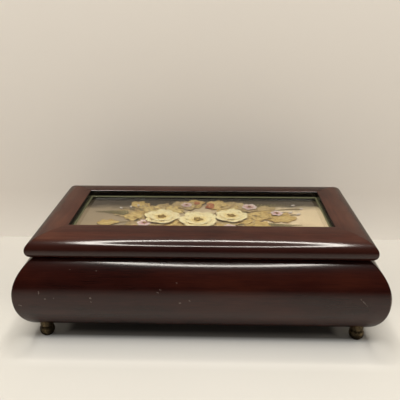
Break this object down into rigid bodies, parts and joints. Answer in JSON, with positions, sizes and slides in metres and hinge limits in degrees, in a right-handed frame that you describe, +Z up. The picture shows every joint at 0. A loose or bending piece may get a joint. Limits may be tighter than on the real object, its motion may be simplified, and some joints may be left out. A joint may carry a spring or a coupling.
{
  "type": "cylinder music box",
  "caption": "Wooden musical jewellery box with a bombe case, ball feet, a hinged glazed lid over pressed flowers and a key-wound cylinder movement.",
  "frame": {"origin": "middle of the footprint, on the surface that the feet stand on", "axes": "+X to the box's right, +Y to its back, where the hinges are, +Z up"},
  "size_m": [0.212, 0.1152, 0.0669],
  "materials": {
    "case_wood": "high gloss dark red-brown lacquer over mahogany, worn at the edges",
    "lid_wood": "high gloss dark red-brown lacquer over mahogany",
    "foot_brass": "darkened brass",
    "inner_wood": "plain sanded board",
    "velvet": "cut pile velvet",
    "roll_velvet": "cut pile velvet over foam",
    "clear_cover": "clear acrylic sheet",
    "hinge_brass": "satin brass",
    "pane_glass": "clear bevelled glass",
    "spacer_card": "dark card",
    "picture_card": "cream card",
    "pressed_leaf": "dried leaf",
    "pressed_petal": "dried petal",
    "plate_brass": "satin brass",
    "wheel_brass": "turned brass",
    "cast_metal": "die-cast metal",
    "spring_steel": "blued spring steel",
    "comb_steel": "ground steel",
    "bright_steel": "bright steel"
  },
  "bodies": {
    "case": {"case_front_rail": "case_wood", "case_back_rail": "case_wood", "case_left_rail": "case_wood", "case_right_rail": "case_wood", "base_panel": "inner_wood", "foot_front_left": "foot_brass", "foot_front_right": "foot_brass", "foot_back_left": "foot_brass", "foot_back_right": "foot_brass", "movement_partition": "velvet", "ring_divider": "velvet", "floor_lining": "velvet", "lining_front": "velvet", "lining_back": "velvet", "lining_right": "velvet", "ring_rolls": "roll_velvet", "cover_ledges": "inner_wood", "movement_cover": "clear_cover", "hinge_left_lower_leaf": "hinge_brass", "hinge_right_lower_leaf": "hinge_brass", "hinge_pins": "hinge_brass", "hinge_screws_case": "hinge_brass", "bedplate": "plate_brass", "spring_housing": "cast_metal", "mainspring": "spring_steel", "comb": "comb_steel", "comb_screws": "bright_steel", "governor_frame": "plate_brass", "stop_wire_guide": "inner_wood", "stop_spring": "spring_steel", "movement_screws": "bright_steel", "frame_screws": "bright_steel"},
    "lid": {"lid_front_rail": "lid_wood", "lid_back_rail": "lid_wood", "lid_left_rail": "lid_wood", "lid_right_rail": "lid_wood", "glass_pane": "pane_glass", "spacer_frame": "spacer_card", "picture_card": "picture_card", "pressed_leaves": "pressed_leaf", "pressed_blossoms": "pressed_petal", "backing_panel": "inner_wood", "lid_lining": "velvet", "hinge_left_upper_leaf": "hinge_brass", "hinge_right_upper_leaf": "hinge_brass", "hinge_screws_lid": "hinge_brass"},
    "drive": {"great_wheel": "wheel_brass", "clutch_spring": "spring_steel"},
    "winding": {"winding_arbor": "bright_steel", "winding_key": "plate_brass"},
    "cylinder": {"music_cylinder": "wheel_brass", "cylinder_arbor": "bright_steel", "cylinder_pinion": "wheel_brass", "cylinder_gear": "wheel_brass"},
    "governor": {"governor_arbor": "bright_steel", "worm_wheel": "wheel_brass"},
    "air_brake": {"worm": "bright_steel", "fan": "cast_metal"},
    "stop": {"stop_wire": "bright_steel"}
  },
  "joints": [
    {"name": "lid_hinge", "type": "hinge", "parent": "case", "child": "lid", "pos_m": [0, 0.049, 0.0542], "axis": [-1, 0, 0], "range_deg": [0, 100]},
    {"name": "great_wheel_turn", "type": "hinge", "parent": "case", "child": "drive", "pos_m": [-0.06615, -0.0118, 0.015], "axis": [0, 0, 1], "continuous": true},
    {"name": "key_turn", "type": "hinge", "parent": "drive", "child": "winding", "pos_m": [-0.06615, -0.0118, 0.015], "axis": [0, 0, 1], "continuous": true},
    {"name": "cylinder_turn", "type": "hinge", "parent": "case", "child": "cylinder", "pos_m": [-0.06615, -0.0118, 0.02507], "axis": [0, 1, 0], "continuous": true},
    {"name": "governor_turn", "type": "hinge", "parent": "case", "child": "governor", "pos_m": [-0.0743, -0.0118, 0.02507], "axis": [0, 1, 0], "continuous": true},
    {"name": "fan_turn", "type": "hinge", "parent": "case", "child": "air_brake", "pos_m": [-0.08055, 0.02678, 0.015], "axis": [0, 0, 1], "continuous": true},
    {"name": "stop_rise", "type": "slide", "parent": "case", "child": "stop", "axis": [0, 0, 1], "range_m": [0, 0.003], "deforming": ["stop_spring"]}
  ],
  "couplings": [
    {"joint": "cylinder_turn", "follows": "great_wheel_turn", "ratio": 3.3333},
    {"joint": "governor_turn", "follows": "great_wheel_turn", "ratio": -14.667},
    {"joint": "fan_turn", "follows": "great_wheel_turn", "ratio": 352},
    {"joint": "stop_rise", "follows": "lid_hinge", "m_per_rad": 0.0017188}
  ]
}
